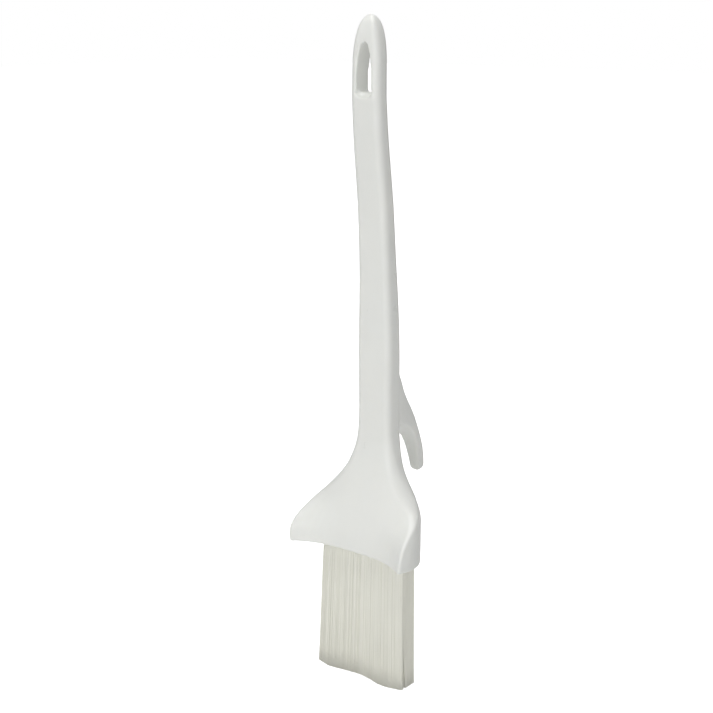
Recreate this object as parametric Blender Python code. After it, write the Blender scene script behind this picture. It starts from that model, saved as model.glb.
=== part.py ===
"""Pastry brush: one white moulded handle with a bowl hook and a drip hood, set with two rows of nylon tufts.

Each tuft is folded over a flat wire anchor at the bottom of its own blind hole. +Z runs up the handle, -Y is
the front, +Y is the side of the hook, and the longest tufts stand on z = 0. Lengths below are in millimetres.
"""

import math

import bmesh
import bpy
from mathutils import Matrix, Vector

MM = 0.001

# Driving dimensions
LENGTH = 305.0  # of the handle's top above the corners of the trimmed edge
BRISTLE_WIDTH = 50.0
BRISTLE_DEPTH = 9.4
BRISTLE_CENTRE_Y = -12.46  # puts the middle of the whole brush's footprint on the origin
RIM_Z = 63.0  # lower edge of the hood, so also the visible length of the bristles
GAP = 0.3  # clearance between neighbouring pieces

# Tufts, their holes and their anchors
COLUMNS = 12
ROW_NAMES = ("front", "back")
BLOCK_FACE_Z = 68.0
BLOCK_HALF_WIDTH = 25.6
BLOCK_FRONT_Y = -3.4
# (place across the pack, how far the trimmed edge hangs below its corners there)
TRIM = ((-25, 0.0), (-22, 1.2), (-19, 1.7), (-6, 0.5), (0, 0.1), (3, 0.2), (8, 1.0), (12.5, 1.9), (17, 1.4),
        (21.5, 0.9), (25, 0.0))
ROOT_Y = 2.0  # the holes sit this far behind the tips, so the tufts lean forward a little
BEND_Z = 0.85 * BLOCK_FACE_Z  # where a rigid bar would turn to stand in for the bending length
HOLE_RADIUS = 1.6
HOLE_DEPTH = 9.0
HOLE_PITCH = 3.93
HOLE_ROW_PITCH = 4.7
ROUND_STEPS = 12
WIRE_THICKNESS = 0.45
WIRE_HEIGHT = 2.0
WIRE_LENGTH = 3.9
WIRE_ANGLE = math.radians(60)  # from the row; mirrored in the left half
WIRE_Z = BLOCK_FACE_Z + HOLE_DEPTH - 2.4

# Handle and head: (height above the pack's corners, value), measured from the bristles' centre plane
HALF_WIDTH = ((63, 32.4), (68, 32.9), (73, 32.5), (78, 31.6), (83, 30.2), (87, 28.0), (91, 25.2), (95, 20.9),
              (100, 16.3), (105, 13.4), (110, 11.4), (120, 9.5), (160, 9.5), (200, 8.5), (285, 7.75))
BACK_HALF_WIDTH = ((63, 22.0), (72, 22.5), (78, 23.4), (83, 23.6), (90, 20.1), (95, 17.0), (100, 14.2),
                   (105, 12.3), (110, 10.9), (120, 9.5), (160, 9.5), (200, 8.5), (285, 7.75))
FRONT = ((63, -9.4), (71, -7.9), (83, -4.2), (95, -0.5), (105, 2.2), (115, 4.0), (150, 4.4), (180, 4.2),
         (202, 3.4), (225, 1.9), (247, -0.6), (269, -2.3), (286, -2.1), (305, -1.0))
BACK = ((63, 10.0), (71, 10.2), (83, 10.8), (95, 12.4), (105, 13.8), (115, 14.9), (150, 15.0), (180, 14.2),
        (202, 12.8), (225, 11.1), (247, 8.4), (269, 6.5), (286, 6.7), (305, 7.4))
WING_SWEEP = ((63, -8.3), (68, -8.8), (71, -8.7), (74, -7.3), (77, -4.6), (80, -0.9), (83, 2.4), (86, 3.9),
              (90, 3.8), (95, 2.7), (100, 1.6), (110, 0.4), (120, 0.0), (305, 0.0))
SIDE_BULGE = ((63, 6.2), (72, 5.3), (78, 3.2), (83, 1.2), (90, 0.5), (100, 0.0), (305, 0.0))
FRONT_CORNER = ((63, 0.8), (72, 0.9), (80, 1.5), (86, 2.8), (92, 4.2), (110, 3.8), (120, 3.2), (305, 3.2))
BACK_CORNER = ((63, 5.0), (80, 6.0), (95, 5.0), (120, 3.5), (305, 3.5))
RIM_SOFTNESS = 0.8
SWEEP_POWER = 3  # how late the front edge leaves its straight middle for the wing tips
SMALLEST_CORNER = 0.4

# Rounded top end
TOP_ARCH = 23.0  # height over which the end narrows
TOP_STEPS = 11
TOP_CLOSE = 0.985  # the last ring stays this far short of a point

# Hood cavity
SKIRT = 1.7
ROOF = 2.6
CAVITY_TOP_Z = 80.0
CAVITY_RINGS = 8

# Hook: (share of its length, outer y, outer z, inner y, inner z, half width)
HOOK = ((0.00, 8.0, 161.0, 8.0, 121.0, 9.2),
        (0.12, 14.2, 148.0, 14.0, 119.6, 9.1),
        (0.26, 19.2, 136.6, 19.3, 117.6, 8.4),
        (0.47, 27.9, 124.2, 27.2, 113.6, 6.8),
        (0.66, 35.0, 112.8, 32.0, 108.6, 5.0),
        (0.85, 40.1, 102.0, 34.9, 101.0, 3.8),
        (1.00, 41.9, 94.0, 36.6, 93.3, 2.9))
HOOK_RINGS = 13
HOOK_CORNERS = 5  # exponent of its section: 2 is an ellipse, more is squarer
HOOK_TIP = 3.0
HOOK_TIP_STEPS = 4

# Hanging slot
SLOT_BOTTOM_Z = 272.0
SLOT_TOP_Z = 293.2
SLOT_HALF_WIDTH = 4.0
SLOT_STRAIGHT = 4.5
SLOT_ARCH_POWER = 0.42  # 0.5 is a half ellipse, 1 is a pointed arch
SLOT_ARCH_STEPS = 8
SLOT_BOTTOM_CORNER = 1.2
SLOT_CUT = (-15, 20)  # y where the slot's cutter starts and ends, clear of the handle
SCOOP_HALF_WIDTH = 4.7
SCOOP_HEIGHT = 2.7
SCOOP_DEPTH = 3.2


def at(profile, t):
    """The value of a (t, value) profile, joined up smoothly."""
    if t <= profile[0][0]:
        return profile[0][1]
    if t >= profile[-1][0]:
        return profile[-1][1]
    i = max(k for k in range(len(profile) - 1) if profile[k][0] <= t)
    (t0, v0), (t1, v1) = profile[i], profile[i + 1]
    before = profile[max(i - 1, 0)]
    after = profile[min(i + 2, len(profile) - 1)]
    slope0 = (v1 - before[1]) / (t1 - before[0])
    slope1 = (after[1] - v0) / (after[0] - t0)
    span = t1 - t0
    u = (t - t0) / span
    return ((2 * u**3 - 3 * u**2 + 1) * v0 + (u**3 - 2 * u**2 + u) * span * slope0
            + (3 * u**2 - 2 * u**3) * v1 + (u**3 - u**2) * span * slope1)


def clear_scene():
    for obj in list(bpy.data.objects):
        bpy.data.objects.remove(obj, do_unlink=True)


def finish(name, colour, roughness, metallic=0.0):
    material = bpy.data.materials.new(name)
    material.use_nodes = True
    shader = material.node_tree.nodes["Principled BSDF"]
    shader.inputs["Base Color"].default_value = (*colour, 1.0)
    shader.inputs["Roughness"].default_value = roughness
    shader.inputs["Metallic"].default_value = metallic
    return material


def new_object(name, bm, parent, material=None):
    """Turns a mesh in millimetres into an object in metres, shaded smooth except at real edges."""
    bmesh.ops.recalc_face_normals(bm, faces=bm.faces)
    bmesh.ops.scale(bm, vec=(MM, MM, MM), verts=bm.verts)
    mesh = bpy.data.meshes.new(name)
    bm.to_mesh(mesh)
    bm.free()
    mesh.shade_smooth()
    mesh.set_sharp_from_angle(angle=math.radians(40))
    obj = bpy.data.objects.new(name, mesh)
    obj.parent = parent
    bpy.context.scene.collection.objects.link(obj)
    if material:
        mesh.materials.append(material)
    else:
        obj.hide_render = True
        obj.display_type = "WIRE"
    return obj


def boolean(obj, other, operation):
    modifier = obj.modifiers.new(f"{operation.lower()} {other.name}", "BOOLEAN")
    modifier.object = other
    modifier.operation = operation
    modifier.solver = "EXACT"


def loft(rings):
    """A closed body through rings of points that all have the same count."""
    bm = bmesh.new()
    loops = [[bm.verts.new(point) for point in ring] for ring in rings]
    for low, high in zip(loops, loops[1:]):
        for i in range(len(low)):
            bm.faces.new((low[i - 1], low[i], high[i], high[i - 1]))
    bm.faces.new(reversed(loops[0]))
    bm.faces.new(loops[-1])
    return bm


def box_into(bm, centre, size, turn=0.0):
    place = Matrix.Translation(centre) @ Matrix.Rotation(turn, 4, "Z") @ Matrix.Diagonal((*size, 1))
    bmesh.ops.create_cube(bm, size=1, matrix=place)


def squircle(half_a, half_b, power, steps):
    """Points (a, b) round a superellipse: power 2 is an ellipse, more is a squarer one."""
    points = []
    for i in range(steps):
        turn = math.tau * (i + 0.5) / steps
        c, s = math.cos(turn), math.sin(turn)
        a = math.copysign(abs(c) ** (2 / power), c)
        b = math.copysign(abs(s) ** (2 / power), s)
        points.append((a * half_a, b * half_b))
    return points


def fillet(corner, before, after, radius, steps=6):
    """Points round a corner, from the side towards `before` to the side towards `after`."""
    to_before = (before - corner).normalized()
    to_after = (after - corner).normalized()
    half_angle = to_before.angle(to_after) / 2
    reach = radius / math.tan(half_angle)
    centre = corner + (to_before + to_after).normalized() * radius / math.sin(half_angle)
    start = corner + to_before * reach - centre
    end = corner + to_after * reach - centre
    sweep = start.angle_signed(end)
    return [centre + Matrix.Rotation(-sweep * i / steps, 2) @ start for i in range(steps + 1)]


def outline(z, inset=0.0):
    """The handle's level section at height z, as (x, y) points: right half from front to back, then left."""
    width = at(HALF_WIDTH, z) - inset
    back_width = at(BACK_HALF_WIDTH, z) - inset
    front_middle = at(FRONT, z) + inset
    front = front_middle + at(WING_SWEEP, z)
    back = at(BACK, z) - inset
    front_radius = max(at(FRONT_CORNER, z) - inset, SMALLEST_CORNER)
    back_radius = max(at(BACK_CORNER, z) - inset, SMALLEST_CORNER)
    front_corner, back_corner = Vector((width, front)), Vector((back_width, back))
    bend_front = fillet(front_corner, Vector((0, front)), back_corner, front_radius)
    bend_back = fillet(back_corner, front_corner, Vector((0, back)), back_radius)
    edge = [Vector((bend_front[0].x * i / 8, front)) for i in range(8)]
    side = [bend_front[-1].lerp(bend_back[0], i / 6) for i in range(1, 6)]
    rear = [Vector((bend_back[-1].x * (1 - i / 4), back)) for i in range(1, 5)]
    half = []
    for point in edge + bend_front + side + bend_back + rear:
        share = min(max((point.y - front) / (back - front), 0), 1)
        bulge = at(SIDE_BULGE, z) * 4 * share * (1 - share)
        lift = (front_middle - front) * (1 - min(point.x / width, 1) ** SWEEP_POWER) * (1 - share) ** 2
        half.append((point.x + bulge, point.y + lift))
    return half + [(-x, y) for x, y in half[-2:0:-1]]


def handle_heights():
    """Ring heights, closer together where the head changes quickly."""
    head = [RIM_Z + RIM_SOFTNESS + 1.8 * i for i in range(24)]
    neck = [head[-1] + 4.0 * (i + 1) for i in range(6)]
    grip_end = LENGTH - TOP_ARCH
    grip = [neck[-1] + (grip_end - neck[-1]) * (i + 1) / 13 for i in range(13)]
    return head + neck + grip


def handle_body(parent, material):
    """The hood, neck and grip, with a soft lower rim and a rounded top end."""
    rings = [[(x, y, RIM_Z) for x, y in outline(RIM_Z, inset=RIM_SOFTNESS * 0.8)],
             [(x, y, RIM_Z + RIM_SOFTNESS * 0.3) for x, y in outline(RIM_Z, inset=RIM_SOFTNESS * 0.25)]]
    for z in handle_heights():
        rings.append([(x, y, z) for x, y in outline(z)])
    shoulder = LENGTH - TOP_ARCH
    for i in range(1, TOP_STEPS + 1):
        rise = math.sin(TOP_CLOSE * math.pi / 2 * i / TOP_STEPS)
        width, depth = math.sqrt(1 - rise**2), math.sqrt(1 - rise**5)
        z = shoulder + TOP_ARCH * rise
        middle = (at(FRONT, z) + at(BACK, z)) / 2
        shoulder_middle = (at(FRONT, shoulder) + at(BACK, shoulder)) / 2
        rings.append([(x * width, middle + (y - shoulder_middle) * depth, z) for x, y in outline(shoulder)])
    return new_object("handle", loft(rings), parent, material)


def hook_body(parent):
    """The bowl hook: a tapering strap that leaves the back of the handle and hangs down behind it."""
    parts = [[(station[0], station[k]) for station in HOOK] for k in range(1, 6)]
    rings = []
    for i in range(HOOK_RINGS + HOOK_TIP_STEPS):
        share = min(i / (HOOK_RINGS - 1), 1)
        outer_y, outer_z, inner_y, inner_z, half_width = (at(part, share) for part in parts)
        outer, inner = Vector((0, outer_y, outer_z)), Vector((0, inner_y, inner_z))
        centre, across = (outer + inner) / 2, (outer - inner) / 2
        size = 1.0
        if i >= HOOK_RINGS:
            turn = math.pi / 2 * (i - HOOK_RINGS + 1) / (HOOK_TIP_STEPS + 0.4)
            onward = Vector((0, across.z, -across.y)).normalized()
            centre = centre + onward * HOOK_TIP * math.sin(turn)
            size = math.cos(turn)
        ring = squircle(half_width * size, size, HOOK_CORNERS, 20)
        rings.append([centre + across * b + Vector((a, 0, 0)) for a, b in ring])
    return new_object("cutter_hook", loft(rings), parent)


def hood_cavity(parent):
    """The hollow under the hood, less the block that holds the tufts and runs into its back wall."""
    rings = [[(x, y, RIM_Z - 2) for x, y in outline(RIM_Z, inset=SKIRT)]]
    for i in range(CAVITY_RINGS + 1):
        z = RIM_Z + (CAVITY_TOP_Z - RIM_Z) * i / CAVITY_RINGS
        rings.append([(x, y, z) for x, y in outline(z + ROOF * i / CAVITY_RINGS, inset=SKIRT)])
    cavity = new_object("cutter_hood", loft(rings), parent)
    bm = bmesh.new()
    depth, height = 20.0, 30.0  # past the back and the top of the cavity
    centre = (0, BLOCK_FRONT_Y + depth / 2, BLOCK_FACE_Z + height / 2)
    box_into(bm, centre, (2 * BLOCK_HALF_WIDTH, depth, height))
    boolean(cavity, new_object("cutter_block", bm, parent), "DIFFERENCE")
    return cavity


def hole_places():
    """Every tuft's row name, column number, place in the pack (shares from its centre) and hole centre."""
    for row, name in enumerate(ROW_NAMES):
        for column in range(COLUMNS):
            shares = Vector((column - (COLUMNS - 1) / 2, row - 0.5))
            hole = Vector((shares.x * HOLE_PITCH, ROOT_Y + shares.y * HOLE_ROW_PITCH))
            yield name, column + 1, shares, hole


def tip_place(shares):
    """The middle of a tuft's trimmed end."""
    x = shares.x * BRISTLE_WIDTH / COLUMNS
    return Vector((x, shares.y * BRISTLE_DEPTH / 2, -at(TRIM, x)))


def tuft_holes(parent):
    bm = bmesh.new()
    depth = HOLE_DEPTH + 4.0
    half_step = Matrix.Rotation(math.pi / ROUND_STEPS, 4, "Z")
    for _, _, _, hole in hole_places():
        place = Matrix.Translation((hole.x, hole.y, BLOCK_FACE_Z + HOLE_DEPTH - depth / 2)) @ half_step
        bmesh.ops.create_cone(bm, cap_ends=True, segments=ROUND_STEPS, radius1=HOLE_RADIUS, radius2=HOLE_RADIUS,
                              depth=depth, matrix=place)
    return new_object("cutter_tuft_holes", bm, parent)


def wire_turn(hole):
    return math.copysign(WIRE_ANGLE, hole.x)


def wire_pockets(parent):
    """Room for every anchor, cut from the block and from the tuft that folds over it."""
    bm = bmesh.new()
    size = (WIRE_LENGTH + 2 * GAP, WIRE_THICKNESS + 2 * GAP, WIRE_HEIGHT + 2 * GAP)
    for _, _, _, hole in hole_places():
        box_into(bm, (hole.x, hole.y, WIRE_Z), size, wire_turn(hole))
    return new_object("cutter_wire_pockets", bm, parent)


def hanging_slot(parent):
    """The bullet-shaped slot in the top end, cut from front to back."""
    shoulder = SLOT_BOTTOM_Z + SLOT_STRAIGHT
    rise = SLOT_TOP_Z - shoulder
    corner = Vector((SLOT_HALF_WIDTH, SLOT_BOTTOM_Z))
    half = fillet(corner, Vector((0, SLOT_BOTTOM_Z)), Vector((SLOT_HALF_WIDTH, shoulder)), SLOT_BOTTOM_CORNER)
    for i in range(SLOT_ARCH_STEPS):
        share = math.sin(math.pi / 2 * i / SLOT_ARCH_STEPS)
        half.append(Vector((SLOT_HALF_WIDTH * (1 - share**2) ** SLOT_ARCH_POWER, shoulder + rise * share)))
    points = half + [Vector((0, SLOT_TOP_Z))] + [Vector((-p.x, p.y)) for p in reversed(half)]
    rings = [[(p.x, y, p.y) for p in points] for y in SLOT_CUT]
    return new_object("cutter_slot", loft(rings), parent)


def slot_scoop(parent):
    """The scooped lip below the slot's front edge."""
    bm = bmesh.new()
    place = Matrix.Translation((0, at(FRONT, SLOT_BOTTOM_Z), SLOT_BOTTOM_Z + 0.2))
    size = Matrix.Diagonal((SCOOP_HALF_WIDTH, SCOOP_DEPTH, SCOOP_HEIGHT, 1))
    bmesh.ops.create_uvsphere(bm, u_segments=20, v_segments=10, radius=1, matrix=place @ size)
    return new_object("cutter_scoop", bm, parent)


def tuft(name, shares, root, parent, pockets, material):
    """One tuft: round where it is folded into its hole, spreading to its share of the pack at the tips."""
    tip = tip_place(shares)
    round_size = HOLE_RADIUS - GAP
    cell_x = BRISTLE_WIDTH / COLUMNS / 2 - GAP / 2
    cell_y = BRISTLE_DEPTH / 4 - GAP / 2
    top = BLOCK_FACE_Z + HOLE_DEPTH - GAP
    # height, half sizes as a share of the way from the round root to the full cell, and squareness
    stations = ((tip.z, 1.0, 7), (44.0, 0.84, 5), (58.0, 0.5, 3), (BLOCK_FACE_Z, 0.0, 2), (top - 0.5, 0.0, 2),
                (top, -0.25, 2))
    rings = []
    for z, spread, power in stations:
        half_x = round_size + (cell_x - round_size) * spread
        half_y = round_size + (cell_y - round_size) * spread
        centre = tip.xy.lerp(root, min(z / BLOCK_FACE_Z, 1))
        rings.append([(centre.x + a, centre.y + b, z) for a, b in squircle(half_x, half_y, power, ROUND_STEPS)])
    obj = new_object(name, loft(rings), parent, material)
    boolean(obj, pockets, "DIFFERENCE")
    return obj


def anchor(name, hole, parent, mesh):
    """One flat wire anchor. Every anchor shares the same mesh."""
    obj = bpy.data.objects.new(name, mesh)
    obj.parent = parent
    obj.location = Vector((hole.x, hole.y, WIRE_Z)) * MM
    obj.rotation_euler.z = wire_turn(hole)
    bpy.context.scene.collection.objects.link(obj)


def anchor_mesh(material):
    bm = bmesh.new()
    box_into(bm, (0, 0, 0), (WIRE_LENGTH, WIRE_THICKNESS, WIRE_HEIGHT))
    bmesh.ops.scale(bm, vec=(MM, MM, MM), verts=bm.verts)
    mesh = bpy.data.meshes.new("anchor")
    bm.to_mesh(mesh)
    bm.free()
    mesh.materials.append(material)
    return mesh


def row_joint(name, row_share, parent):
    """An empty on the line that this row of tufts bends about."""
    joint = bpy.data.objects.new(f"joint_{name}_row", None)
    joint.parent = parent
    joint.location = Vector((0, ROOT_Y + row_share * HOLE_ROW_PITCH, BEND_Z)) * MM
    bpy.context.scene.collection.objects.link(joint)
    return joint


def keep_place(obj, parent):
    """Parents an object to a joint empty without moving it."""
    obj.parent = parent
    obj.matrix_parent_inverse = Matrix.Translation(-parent.location)


def build():
    clear_scene()
    polypropylene = finish("white_polypropylene", (0.86, 0.87, 0.85), 0.38)
    nylon = finish("nylon_filament", (0.83, 0.83, 0.77), 0.45)
    steel = finish("stainless_wire", (0.62, 0.62, 0.60), 0.3, metallic=1.0)

    brush = bpy.data.objects.new("brush", None)
    lowest = min(tip_place(shares).z for _, _, shares, _ in hole_places())
    brush.location = Vector((0, BRISTLE_CENTRE_Y, -lowest)) * MM
    bpy.context.scene.collection.objects.link(brush)

    pockets = wire_pockets(brush)
    handle = handle_body(brush, polypropylene)
    boolean(handle, hook_body(brush), "UNION")
    for cutter in (hood_cavity(brush), tuft_holes(brush), pockets, hanging_slot(brush), slot_scoop(brush)):
        boolean(handle, cutter, "DIFFERENCE")

    joints = {name: row_joint(name, row - 0.5, brush) for row, name in enumerate(ROW_NAMES)}
    wire = anchor_mesh(steel)
    for name, number, shares, hole in hole_places():
        piece = tuft(f"tuft_{name}_{number:02d}", shares, hole, brush, pockets, nylon)
        keep_place(piece, joints[name])
        anchor(f"anchor_{name}_{number:02d}", hole, brush, wire)


build()
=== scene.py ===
"""The looks of a white pastry brush: satin moulded handle, nylon filaments folded over anchors, soft light.

Lengths are in metres and +Z is up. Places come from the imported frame. The sizes below are the fine detail
that the frame leaves out, such as the filaments' thickness and how softly the moulding's edges are rounded.
"""

import math

import bpy
import numpy as np
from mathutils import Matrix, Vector


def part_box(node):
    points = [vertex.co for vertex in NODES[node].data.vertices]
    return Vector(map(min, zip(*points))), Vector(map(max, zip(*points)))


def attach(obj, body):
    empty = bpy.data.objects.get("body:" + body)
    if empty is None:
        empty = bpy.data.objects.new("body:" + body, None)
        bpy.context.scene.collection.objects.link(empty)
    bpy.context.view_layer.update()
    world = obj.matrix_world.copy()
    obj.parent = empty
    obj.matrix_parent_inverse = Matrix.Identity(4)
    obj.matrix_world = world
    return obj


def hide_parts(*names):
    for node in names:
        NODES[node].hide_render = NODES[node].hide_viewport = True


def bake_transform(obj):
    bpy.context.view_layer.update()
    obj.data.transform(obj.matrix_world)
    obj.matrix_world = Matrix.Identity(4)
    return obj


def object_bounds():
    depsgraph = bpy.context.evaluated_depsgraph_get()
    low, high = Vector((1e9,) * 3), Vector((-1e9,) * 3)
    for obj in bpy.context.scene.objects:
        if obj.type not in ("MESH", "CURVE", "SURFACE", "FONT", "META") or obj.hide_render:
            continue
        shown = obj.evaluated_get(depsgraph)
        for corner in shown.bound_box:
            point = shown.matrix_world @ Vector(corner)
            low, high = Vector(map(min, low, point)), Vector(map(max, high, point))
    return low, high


MM = 0.001

# Handle
SKIN_SIZE = 0.42 * MM  # grid of the moulding's surface
SOFTEN_STEPS = 4
SOFTEN_PULL = 0.5  # share of the way to the middle of a point's neighbours
HANDLE_TRIANGLES = 190_000

# Filaments
FOLDED_PER_TUFT = 88  # each is folded over the anchor and so gives two free ends
FILAMENT_RADIUS = 0.165 * MM
FILAMENT_SIDES = 7
CAD_GAP = 0.3 * MM  # between a tuft and its hole, and between two tufts
ROOT_FILL = 0.92  # share of the hole's radius that the bundle takes up
WIRE_HALF = 0.225 * MM
WIRE_ANGLE = math.radians(60)  # to the row, mirrored in the left half
WIRE_DEPTH = 5.6 * MM  # of the wire's lower edge in the block
WAYS = (1, -1)  # the two sides of the wire
FLARE_LENGTH = 4.5 * MM  # height over which most of the spreading happens
PATH_SHARES = (0.0, 0.14, 0.30, 0.46, 0.62, 0.76, 0.86, 0.93, 0.97)  # from the free end up to the block
FOLD_STEPS = 4
FOLD_HEIGHT = 1.2 * MM

# How a tuft's filaments are spread evenly over its square
EVEN_STEPS = 30
EVEN_REACH = 1.3  # how far a filament pushes others, in even spacings
EVEN_PUSH = 0.25
WALL_SPACE = 1 / 3  # kept free at the square's sides, in even spacings

# Where the CAD tufts are measured
TIP_LAYER = 0.2 * MM
ROOT_LAYER = 1.0 * MM

# Free ends
TIP_SCATTER = 0.04 * MM
TRIM_SCATTER = 0.15 * MM
CORNER_RISE = 0.3 * MM  # from the outer tufts' ends up to the pack's trimmed corners
CLUMPS = 260
CLUMP_PULL = 0.03
CLUMP_SEED = 11
TUFT_SEED = 7919
STRAY_SHARE = 0.006
STRAY_LEAN = 0.5 * MM
SPLAY = (1.018, 1.05)  # how much wider and deeper than the CAD the pack is at its free ends
SPLIT_PLACE = 2.1 * MM  # behind the pack's front, on its right side
SPLIT_HALF = 0.8 * MM
SPLIT_HEIGHT = 32 * MM
SPLIT_DEPTH = 7 * MM
SPLIT_FADE = 1.2 * MM

# Camera, from the middle of the handle's box
CAMERA_PLACE = Vector((383.46, -488.04, 122.99)) * MM
CAMERA_TURN = math.radians(39.28)
CAMERA_DOWN = math.radians(14.0)
CAMERA_LENS = 70.43
CAMERA_SENSOR = 36.0

# Colours
PLASTIC = ((0.79, 0.80, 0.770, 1), (0.82, 0.827, 0.790, 1))
PLASTIC_FLOW = (0.808, 0.817, 0.788, 1)
# convex edges: painted lighter as a highlight, and also meant as rubbed wear
PLASTIC_RUBBED_AND_HIGHLIT = (0.86, 0.863, 0.835, 1)
NYLON = ((0.964, 0.963, 0.889, 1), (0.982, 0.981, 0.923, 1))
# painted shade: the colour the filaments darken to towards their free ends, where less light reaches
NYLON_PAINTED_SHADE = (0.885, 0.880, 0.800, 1)
NYLON_STREAK = (0.972, 0.970, 0.890, 1)
NYLON_PAINTED_SHADE_HEIGHT = 58 * MM
NYLON_THROUGH = 0.15  # share of the light that passes through a filament
STEEL = ((0.55, 0.55, 0.54, 1), (0.68, 0.68, 0.66, 1))
FLOOR = ((0.79, 0.79, 0.79, 1), (0.81, 0.81, 0.81, 1))
FLOOR_HALF = 6.0

# Light: name, azimuth and height in degrees, power
LIGHT_DISTANCE = 1.3
LIGHT_SIZE = 1.0
LIGHTS = (
    ("front_right", 20, 5, 5.8),
    ("right", 45, 5, 2.0),
    ("left", -30, 5, 1.5),
    ("top", 10, 80, 11.0),
    ("back_left", -150, 40, 3.6),
)
ROOM_LIGHT = 0.23
FLOOR_GLOW = 0.05  # what the floor adds to the light on the brush
FLOOR_SEEN = 1.0  # what the floor adds to its own look
BACKDROP = 1.0  # how bright the room looks to the camera
LIGHT_BOUNCES = 16  # light passes from filament to filament many times

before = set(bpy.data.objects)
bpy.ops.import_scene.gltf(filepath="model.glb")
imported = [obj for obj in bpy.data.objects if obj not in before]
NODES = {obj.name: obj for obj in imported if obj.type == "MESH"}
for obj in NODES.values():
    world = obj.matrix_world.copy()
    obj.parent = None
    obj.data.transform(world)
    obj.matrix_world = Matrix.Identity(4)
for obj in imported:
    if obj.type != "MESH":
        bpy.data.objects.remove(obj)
CAD_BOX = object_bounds()


def link(obj):
    bpy.context.scene.collection.objects.link(obj)
    return obj


def points_of(obj):
    co = np.empty(len(obj.data.vertices) * 3, np.float32)
    obj.data.vertices.foreach_get("co", co)
    return co.reshape(-1, 3).astype(float)


# ---------------------------------------------------------------- materials

class Nodes:
    """A short way to write the node tree of a material or a world."""

    def __init__(self, holder):
        self.holder = holder
        holder.use_nodes = True
        self.tree = holder.node_tree
        self.place = self.add("ShaderNodeTexCoord").outputs["Object"]

    def put(self, value, socket):
        if isinstance(value, bpy.types.NodeSocket):
            self.tree.links.new(value, socket)
        else:
            socket.default_value = value

    def add(self, kind, **values):
        node = self.tree.nodes.new(kind)
        for key, value in values.items():
            if hasattr(node, key):
                setattr(node, key, value)
            else:
                self.put(value, node.inputs[key.replace("_", " ")])
        return node

    def set(self, node, **values):
        for key, value in values.items():
            self.put(value, self.tree.nodes[node].inputs[key.replace("_", " ")])

    def noise(self, scale, detail=3.0, stretch=(1, 1, 1), roughness=0.5):
        place = self.add("ShaderNodeMapping", Vector=self.place, Scale=stretch).outputs[0]
        return self.add("ShaderNodeTexNoise", Vector=place, Scale=scale, Detail=detail,
                        Roughness=roughness).outputs["Fac"]

    def span(self, value, low, high, to_low, to_high):
        node = self.add("ShaderNodeMapRange")
        for socket, item in zip(node.inputs, (value, low, high, to_low, to_high)):
            self.put(item, socket)
        return node.outputs[0]

    def maths(self, operation, a, b):
        node = self.add("ShaderNodeMath", operation=operation)
        self.put(a, node.inputs[0])
        self.put(b, node.inputs[1])
        return node.outputs[0]

    def mix(self, share, a, b):
        node = self.add("ShaderNodeMixRGB")
        for socket, item in zip(node.inputs, (share, a, b)):
            self.put(item, socket)
        return node.outputs[0]

    def bump(self, height, distance, normal=None):
        node = self.add("ShaderNodeBump", Height=height, Distance=distance)
        if normal is not None:
            self.put(normal, node.inputs["Normal"])
        return node.outputs[0]

    def blend(self, share, first, second):
        """Makes the surface a blend of two shaders, by the second one's share."""
        both = self.add("ShaderNodeMixShader")
        for socket, item in zip(both.inputs, (share, first, second)):
            self.put(item, socket)
        self.put(both.outputs[0], self.tree.nodes["Material Output"].inputs["Surface"])

    def principled(self):
        return self.tree.nodes["Principled BSDF"].outputs[0]

    def seen(self, to_brush, to_camera):
        """One value for the light that falls on the brush and another for what the camera sees."""
        camera_ray = self.add("ShaderNodeLightPath").outputs["Is Camera Ray"]
        return self.span(camera_ray, 0, 1, to_brush, to_camera)


def new_material(name):
    return Nodes(bpy.data.materials.new(name))


def polypropylene():
    """White polypropylene: satin, translucent, mottled, finely grained, with rubbed edges that are smoother
    and carry a painted highlight.
    """
    m = new_material("white_polypropylene")
    mottle = m.span(m.noise(38, detail=4), 0.3, 0.7, 0, 1)
    colour = m.mix(mottle, *PLASTIC)
    flow = m.span(m.noise(160, detail=2, stretch=(1, 1, 0.12)), 0.4, 0.7, 0, 0.5)
    colour = m.mix(flow, colour, PLASTIC_FLOW)
    # convex edges: rubbed wear makes them smoother, and a painted highlight makes them lighter
    edge = m.span(m.add("ShaderNodeNewGeometry").outputs["Pointiness"], 0.53, 0.62, 0, 0.35)
    colour = m.mix(edge, colour, PLASTIC_RUBBED_AND_HIGHLIT)
    handled = m.noise(75, detail=5, roughness=0.6)
    rough = m.span(handled, 0.3, 0.7, 0.27, 0.36)
    rough = m.maths("SUBTRACT", rough, m.maths("MULTIPLY", edge, 0.08))
    scratch = m.noise(900, detail=2, stretch=(1, 1, 0.05))
    rough = m.maths("ADD", rough, m.span(scratch, 0.62, 0.75, 0, 0.10))
    grain = m.bump(m.noise(1500, detail=2), 0.012 * MM)
    waves = m.bump(m.noise(95, detail=1), 0.10 * MM, normal=grain)
    m.set("Principled BSDF", Base_Color=colour, Roughness=rough, Normal=waves, IOR=1.49,
          Subsurface_Weight=0.15, Subsurface_Radius=(1.0, 0.95, 0.85), Subsurface_Scale=1.4 * MM)
    return m.holder


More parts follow.
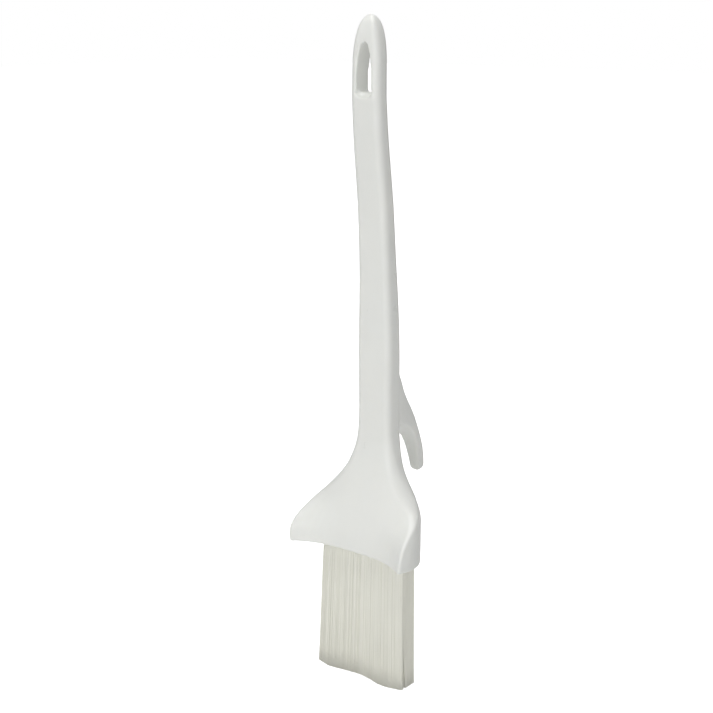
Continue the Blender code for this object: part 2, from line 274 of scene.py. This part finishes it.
def nylon():
    """Natural nylon: each filament has its own tone and lets light through; painted shade makes the
    filaments darker and a little yellower towards their free ends.
    """
    m = new_material("nylon_filament")
    own = m.add("ShaderNodeAttribute", attribute_name="shade").outputs["Fac"]
    height = m.add("ShaderNodeSeparateXYZ", Vector=m.place).outputs["Z"]
    # painted shade: darker and a little yellower from this height down to the free ends
    painted_shade = m.span(height, 0, NYLON_PAINTED_SHADE_HEIGHT, 0.9, 0)
    colour = m.mix(own, *NYLON)
    colour = m.mix(painted_shade, colour, NYLON_PAINTED_SHADE)
    streak = m.noise(420, detail=2, stretch=(1, 1, 0.03))
    colour = m.mix(m.span(streak, 0.35, 0.65, 0, 0.4), colour, NYLON_STREAK)
    rough = m.span(streak, 0.3, 0.7, 0.30, 0.42)
    normal = m.bump(m.noise(2600, detail=1, stretch=(1, 1, 0.08)), 0.01 * MM)
    m.set("Principled BSDF", Base_Color=colour, Roughness=rough, Normal=normal, IOR=1.53)
    through = m.add("ShaderNodeBsdfTranslucent", Color=colour)
    m.blend(NYLON_THROUGH, m.principled(), through.outputs[0])
    return m.holder


def wire_steel():
    """Drawn stainless wire: fine lines along its length."""
    m = new_material("anchor_wire")
    lines = m.noise(3000, detail=2, stretch=(1, 1, 0.2))
    colour = m.mix(lines, *STEEL)
    rough = m.span(lines, 0.3, 0.7, 0.22, 0.38)
    m.set("Principled BSDF", Base_Color=colour, Metallic=1.0, Roughness=rough,
          Normal=m.bump(lines, 0.01 * MM))
    return m.holder


def pale_floor():
    """A plain pale floor, which isn't seen from below."""
    m = new_material("pale_floor")
    tone = m.mix(m.noise(6, detail=2), *FLOOR)
    m.set("Principled BSDF", Base_Color=tone, Roughness=0.9, Specular_IOR_Level=0.2,
          Emission_Color=(1, 1, 1, 1), Emission_Strength=m.seen(FLOOR_GLOW, FLOOR_SEEN))
    below = m.add("ShaderNodeNewGeometry").outputs["Backfacing"]
    m.blend(below, m.principled(), m.add("ShaderNodeBsdfTransparent").outputs[0])
    return m.holder


# ---------------------------------------------------------------- handle

def applied(obj):
    """Replaces the object's mesh with what its modifiers make of it."""
    bpy.context.view_layer.update()
    graph = bpy.context.evaluated_depsgraph_get()
    mesh = bpy.data.meshes.new_from_object(obj.evaluated_get(graph), depsgraph=graph)
    obj.modifiers.clear()
    obj.data = mesh


def soften(obj):
    """Rounds the surface's edges by moving every point towards the middle of its neighbours."""
    mesh = obj.data
    co = points_of(obj)
    count = len(co)
    ends = np.empty(len(mesh.edges) * 2, np.int32)
    mesh.edges.foreach_get("vertices", ends)
    a, b = ends.reshape(-1, 2).T
    here = np.concatenate((a, b))
    there = np.concatenate((b, a))
    neighbours = np.bincount(here, minlength=count)[:, None]
    for _ in range(SOFTEN_STEPS):
        total = np.stack([np.bincount(here, co[there, k], count) for k in range(3)], axis=1)
        co += (total / neighbours - co) * SOFTEN_PULL
    mesh.vertices.foreach_set("co", co.astype(np.float32).ravel())
    mesh.update()


def moulded_handle(material):
    """The handle with the soft edges and fillets of a moulding."""
    obj = link(bpy.data.objects.new("moulded_handle", NODES["handle"].data.copy()))
    skin = obj.modifiers.new("skin", "REMESH")
    skin.mode = "VOXEL"
    skin.voxel_size = SKIN_SIZE
    applied(obj)
    soften(obj)
    thin = obj.modifiers.new("thin", "DECIMATE")
    thin.ratio = min(1.0, HANDLE_TRIANGLES / (2 * len(obj.data.polygons)))
    applied(obj)
    obj.data.shade_smooth()
    obj.data.materials.clear()
    obj.data.materials.append(material)
    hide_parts("handle")
    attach(obj, "handle")


# ---------------------------------------------------------------- bristles

def disc_to_square(x, y):
    """Moves points of the unit disc to the square from -1 to 1, keeping them evenly spread."""
    r = np.hypot(x, y)
    turn = np.arctan2(y, x)
    sideways = np.abs(x) >= np.abs(y)
    across = np.where(sideways, turn, math.pi / 2 - turn)
    across = (across + math.pi / 2) % math.pi - math.pi / 2
    share = across * 4 / math.pi * r
    flip = np.where(sideways, np.sign(x), np.sign(y))
    return np.where(sideways, r * flip, share * flip), np.where(sideways, share * flip, r * flip)


def tubes(name, paths, guide, shades):
    """One mesh of closed round tubes along the paths; guide is a direction that is never along them."""
    count, steps, _ = paths.shape
    along = np.gradient(paths, axis=1)
    along /= np.linalg.norm(along, axis=2, keepdims=True)
    first = guide - along * (along @ guide)[..., None]
    first /= np.linalg.norm(first, axis=2, keepdims=True)
    second = np.cross(along, first)
    sides = FILAMENT_SIDES
    turn = math.tau * np.arange(sides) / sides
    ring = first[:, :, None] * np.cos(turn)[:, None] + second[:, :, None] * np.sin(turn)[:, None]
    co = (paths[:, :, None] + ring * FILAMENT_RADIUS).reshape(-1, 3)
    k = np.arange(sides)
    quad = np.stack((k, (k + 1) % sides, (k + 1) % sides + sides, k + sides), axis=1)
    base = (np.arange(count)[:, None] * steps + np.arange(steps - 1)) * sides
    quads = (base[..., None, None] + quad).reshape(-1, 4)
    starts = (np.arange(count) * steps * sides)[:, None]
    caps = np.concatenate((starts + k[::-1], starts + (steps - 1) * sides + k))
    mesh = bpy.data.meshes.new(name)
    mesh.from_pydata(co.tolist(), [], quads.tolist() + caps.tolist())
    shade = mesh.attributes.new("shade", "FLOAT", "POINT")
    shade.data.foreach_set("value", np.repeat(shades, steps * sides).astype(np.float32))
    mesh.shade_smooth()
    return link(bpy.data.objects.new(name, mesh))


def tuft_shape(node):
    """Where a CAD tuft has its trimmed end and its hole: middles, half sizes and heights."""
    points = points_of(NODES[node])
    low, high = points.min(0), points.max(0)
    tips = points[points[:, 2] < low[2] + TIP_LAYER]
    roots = points[points[:, 2] > high[2] - ROOT_LAYER]
    return {
        "tip": (tips.min(0) + tips.max(0)) / 2,
        "half": np.ptp(tips, axis=0)[:2] / 2 + CAD_GAP / 2,
        "root": (roots.min(0) + roots.max(0))[:2] / 2,
        "hole": np.ptp(roots[:, 0]) / 2 + CAD_GAP,
        "end": low[2],
    }


class Pack:
    """What all the tufts share: the trimmed edge, the clumps and the split."""

    def __init__(self, shapes):
        ends = sorted({(round(s["tip"][0], 5), s["end"]) for s in shapes.values()})
        x, z = np.array(ends).T
        edge = max(s["tip"][0] + s["half"][0] for s in shapes.values())
        self.trim_x = np.concatenate(([-edge], x, [edge]))
        self.trim_z = np.concatenate(([z[0] + CORNER_RISE], z, [z[-1] + CORNER_RISE]))
        front = min(s["tip"][1] - s["half"][1] for s in shapes.values())
        back = max(s["tip"][1] + s["half"][1] for s in shapes.values())
        self.right = edge
        self.middle = np.array([0.0, (front + back) / 2])
        self.split_y = front + SPLIT_PLACE
        draw = np.random.default_rng(CLUMP_SEED)
        self.clumps = draw.uniform((-edge, front), (edge, back), (CLUMPS, 2))

    def trim(self, x):
        return np.interp(x, self.trim_x, self.trim_z)

    def lean(self, tips):
        """How far each free end leans: towards the middle of its clump."""
        apart = np.linalg.norm(tips[:, None] - self.clumps, axis=2)
        return (self.clumps[apart.argmin(axis=1)] - tips) * CLUMP_PULL

    def split(self, x, y, z):
        """How far the filaments stand back from the split, for points along them."""
        away = y - self.split_y
        low = np.clip(1 - z / SPLIT_HEIGHT, 0, 1)
        outside = np.clip(1 - (self.right - x) / SPLIT_DEPTH, 0, 1)
        return np.sign(away) * SPLIT_HALF * low * outside * np.exp(-np.abs(away) / SPLIT_FADE)


def sunflower(count):
    """Evenly spread points of the unit disc."""
    k = np.arange(count) + 0.5
    r = np.sqrt(k / count)
    turn = k * math.pi * (3 - math.sqrt(5))
    return np.stack((r * np.cos(turn), r * np.sin(turn)), axis=1)


def evened(spots):
    """Pushes points of the square from -1 to 1 apart until they are evenly spread, also along its sides."""
    count = len(spots)
    apart = 2 / math.sqrt(count)
    wall = 1 - apart * WALL_SPACE
    for _ in range(EVEN_STEPS):
        mirrored = [spots]
        for axis in (0, 1):
            for side in (-1, 1):
                image = spots.copy()
                image[:, axis] = 2 * side - image[:, axis]
                mirrored.append(image)
        others = np.concatenate(mirrored)
        offset = spots[:, None] - others
        distance = np.linalg.norm(offset, axis=2)
        distance[np.arange(count), np.arange(count)] = np.inf
        push = np.clip(EVEN_REACH * apart - distance, 0, None) / distance
        spots = np.clip(spots + EVEN_PUSH * (offset * push[..., None]).sum(axis=1), -wall, wall)
    return spots


class Bundle:
    """Where a tuft's filaments sit, as shares of its size, for a wire that lies at this angle."""

    def __init__(self, wire_angle):
        self.along_wire = np.array([math.cos(wire_angle), math.sin(wire_angle)])
        self.off_wire = np.array([-self.along_wire[1], self.along_wire[0]])
        # One half of the bundle, for the legs on one side of the wire: u along the wire, v away from it
        spots = sunflower(2 * FOLDED_PER_TUFT)
        self.u, self.v = spots[np.argsort(spots[:, 1])][FOLDED_PER_TUFT:].T
        self.round = {way: self.across(self.v * way) for way in WAYS}
        square = np.concatenate([np.stack(disc_to_square(*self.round[way].T), axis=1) for way in WAYS])
        self.square = dict(zip(WAYS, np.split(evened(square), 2)))

    def across(self, v):
        return np.outer(self.u, self.along_wire) + np.outer(v, self.off_wire)


def tuft_piece(node, shape, bundle, pack, material):
    """A tuft of filaments, each folded over the anchor and spreading from the hole to its share of the pack.

    Its paths run from one free end up through the hole, over the wire and down to the other free end.
    """
    draw = np.random.default_rng(sum(map(ord, node)) * TUFT_SEED)
    wire_low, wire_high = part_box(node.replace("tuft", "anchor"))
    block_z = wire_low.z - WIRE_DEPTH
    reach = shape["hole"] * ROOT_FILL

    legs = []
    for way in WAYS:
        tip = shape["tip"][:2] + bundle.square[way] * shape["half"]
        tip += draw.uniform(-1, 1, tip.shape) * TIP_SCATTER
        end_z = pack.trim(tip[:, 0]) + draw.uniform(0, TRIM_SCATTER, FOLDED_PER_TUFT)
        lean = pack.lean(tip) + (tip - pack.middle) * (np.array(SPLAY) - 1)
        stray = draw.random(FOLDED_PER_TUFT) < STRAY_SHARE
        lean += draw.normal(0, STRAY_LEAN, lean.shape) * stray[:, None]
        leg = []
        for share in PATH_SHARES:
            z = end_z + (block_z - end_z) * share
            spread = 1 - np.exp((z - block_z) / FLARE_LENGTH)
            middle = shape["tip"][:2] + (shape["root"] - shape["tip"][:2]) * (z / block_z)[:, None]
            xy = middle + bundle.round[way] * reach * (1 - spread)[:, None]
            xy += (tip - shape["tip"][:2]) * spread[:, None]
            xy += lean * (1 - share) ** 2
            xy[:, 1] += pack.split(xy[:, 0], xy[:, 1], z)
            leg.append(np.column_stack((xy, z)))
        gap = (WIRE_HALF + FILAMENT_RADIUS) / reach
        for z, opening in ((block_z, 0.0), (wire_low.z, gap), (wire_high.z, gap)):
            held = (bundle.v + opening * (1 - bundle.v)) * way
            xy = shape["root"] + bundle.across(held) * reach
            leg.append(np.column_stack((xy, np.full(FOLDED_PER_TUFT, z))))
        legs.append(leg)

    start, stop = legs[0][-1], legs[1][-1]
    middle = (start + stop) / 2
    rise = np.minimum(np.linalg.norm(start - stop, axis=1) / 2, FOLD_HEIGHT)
    fold = []
    for angle in np.linspace(0, math.pi, FOLD_STEPS + 1)[1:-1]:
        place = middle + (start - middle) * math.cos(angle)
        place[:, 2] += rise * math.sin(angle)
        fold.append(place)
    paths = np.stack(legs[0] + fold + legs[1][::-1], axis=1)
    shades = draw.uniform(0, 1, FOLDED_PER_TUFT)
    obj = tubes(node.replace("tuft", "filaments"), paths, np.append(bundle.along_wire, 0.0), shades)
    obj.data.materials.append(material)
    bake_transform(obj)
    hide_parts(node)


def bristles(material):
    shapes = {name: tuft_shape(name) for name in sorted(NODES) if name.startswith("tuft")}
    pack = Pack(shapes)
    left, right = Bundle(-WIRE_ANGLE), Bundle(WIRE_ANGLE)
    for name, shape in shapes.items():
        tuft_piece(name, shape, right if shape["root"][0] > 0 else left, pack, material)


# ---------------------------------------------------------------- stage

def soft_light(name, azimuth, height, power):
    """A square soft box that faces the middle of the brush. Azimuth 0 is in front of it, 90 on its right."""
    data = bpy.data.lights.new(name, "AREA")
    data.shape = "SQUARE"
    data.size = LIGHT_SIZE
    data.energy = power
    obj = link(bpy.data.objects.new(name, data))
    turn, rise = math.radians(azimuth), math.radians(height)
    away = Vector((math.sin(turn) * math.cos(rise), -math.cos(turn) * math.cos(rise), math.sin(rise)))
    obj.location = (CAD_BOX[0] + CAD_BOX[1]) / 2 + away * LIGHT_DISTANCE
    obj.rotation_euler = away.to_track_quat("Z", "Y").to_euler()
    obj.visible_camera = False


def stage():
    mesh = bpy.data.meshes.new("floor")
    corners = [(x * FLOOR_HALF, y * FLOOR_HALF, 0) for x, y in ((-1, -1), (1, -1), (1, 1), (-1, 1))]
    mesh.from_pydata(corners, [], [(0, 1, 2, 3)])
    mesh.materials.append(pale_floor())
    link(bpy.data.objects.new("floor", mesh))
    for light in LIGHTS:
        soft_light(*light)
    room = Nodes(bpy.data.worlds.new("soft_room"))
    room.set("Background", Color=(1.0, 1.0, 1.0, 1.0), Strength=room.seen(ROOM_LIGHT, BACKDROP))
    scene = bpy.context.scene
    scene.world = room.holder
    scene.view_settings.view_transform = "Standard"
    scene.cycles.max_bounces = LIGHT_BOUNCES
    scene.cycles.diffuse_bounces = LIGHT_BOUNCES


def camera():
    data = bpy.data.cameras.new("camera")
    data.lens = CAMERA_LENS
    data.sensor_width = CAMERA_SENSOR
    low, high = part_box("handle")
    obj = link(bpy.data.objects.new("camera", data))
    obj.location = (low + high) / 2 + CAMERA_PLACE
    obj.rotation_euler = (math.pi / 2 - CAMERA_DOWN, 0, CAMERA_TURN)
    bpy.context.scene.camera = obj


moulded_handle(polypropylene())
bristles(nylon())
steel = wire_steel()
for name, node in NODES.items():
    if name.startswith("anchor"):
        node.material_slots[0].material = steel
stage()
camera()
